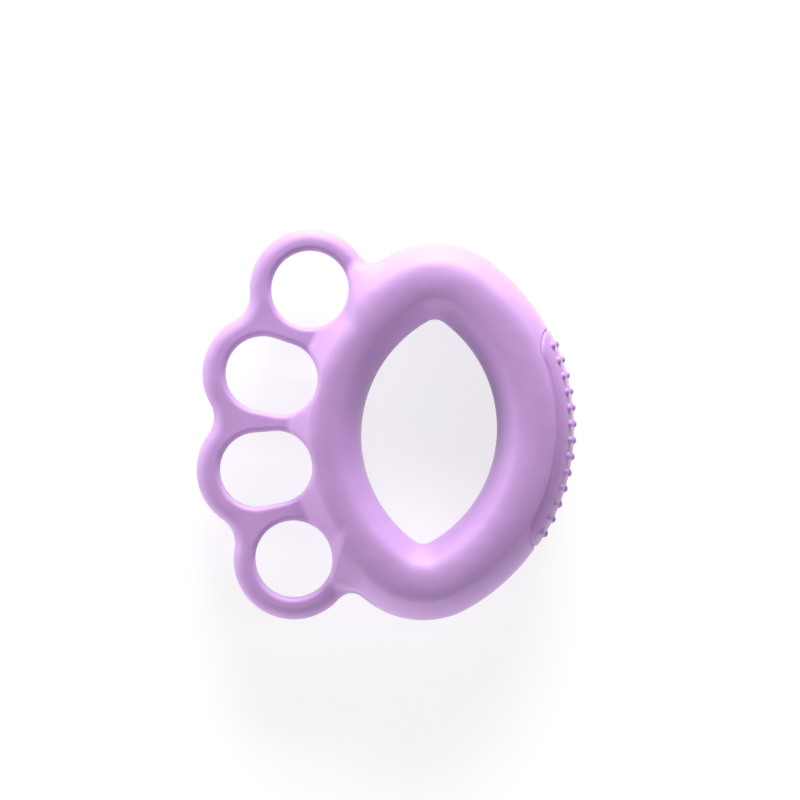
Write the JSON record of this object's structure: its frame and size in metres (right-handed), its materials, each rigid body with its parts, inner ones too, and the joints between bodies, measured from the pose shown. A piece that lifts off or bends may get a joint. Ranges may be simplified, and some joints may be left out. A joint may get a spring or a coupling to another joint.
{
  "type": "finger and hand grip ring",
  "caption": "Moulded silicone hand-grip ring with an almond-shaped hole, finger loops along one side and a palm pad of small nubs along the other.",
  "frame": {"origin": "middle of the underside: the centre of the box round the grip as it lies flat, on the surface that it rests on", "axes": "+Z along the axis of the ring's hole, out of the front face; +X from the finger loops towards the palm pad; +Y towards the index finger's loop"},
  "size_m": [0.092, 0.095, 0.024],
  "materials": {
    "silicone": "soft matte"
  },
  "bodies": {
    "finger_side": {"finger_side_arc": "silicone", "upper_flex_arc": "silicone", "lower_flex_arc": "silicone", "finger_bridge": "silicone"},
    "palm_side": {"palm_side_arc": "silicone", "palm_pad": "silicone"},
    "index_loop": {"index_finger_loop": "silicone"},
    "middle_loop": {"middle_finger_loop": "silicone"},
    "ring_loop": {"ring_finger_loop": "silicone"},
    "little_loop": {"little_finger_loop": "silicone"}
  },
  "joints": [
    {"name": "ring_squeeze", "type": "slide", "parent": "finger_side", "child": "palm_side", "axis": [-1, 0, 0], "range_m": [0, 0.016], "stiffness_N_per_m": 6000, "deforming": ["upper_flex_arc", "lower_flex_arc"]},
    {"name": "index_loop_stretch", "type": "slide", "parent": "finger_side", "child": "index_loop", "axis": [-0.7788, 0.6273, 0], "range_m": [0, 0.006], "stiffness_N_per_m": 1000},
    {"name": "middle_loop_stretch", "type": "slide", "parent": "finger_side", "child": "middle_loop", "axis": [-0.9746, 0.2241, 0], "range_m": [0, 0.006], "stiffness_N_per_m": 1000},
    {"name": "ring_loop_stretch", "type": "slide", "parent": "finger_side", "child": "ring_loop", "axis": [-0.9746, -0.2241, 0], "range_m": [0, 0.006], "stiffness_N_per_m": 1000},
    {"name": "little_loop_stretch", "type": "slide", "parent": "finger_side", "child": "little_loop", "axis": [-0.7788, -0.6273, 0], "range_m": [0, 0.006], "stiffness_N_per_m": 1000}
  ]
}
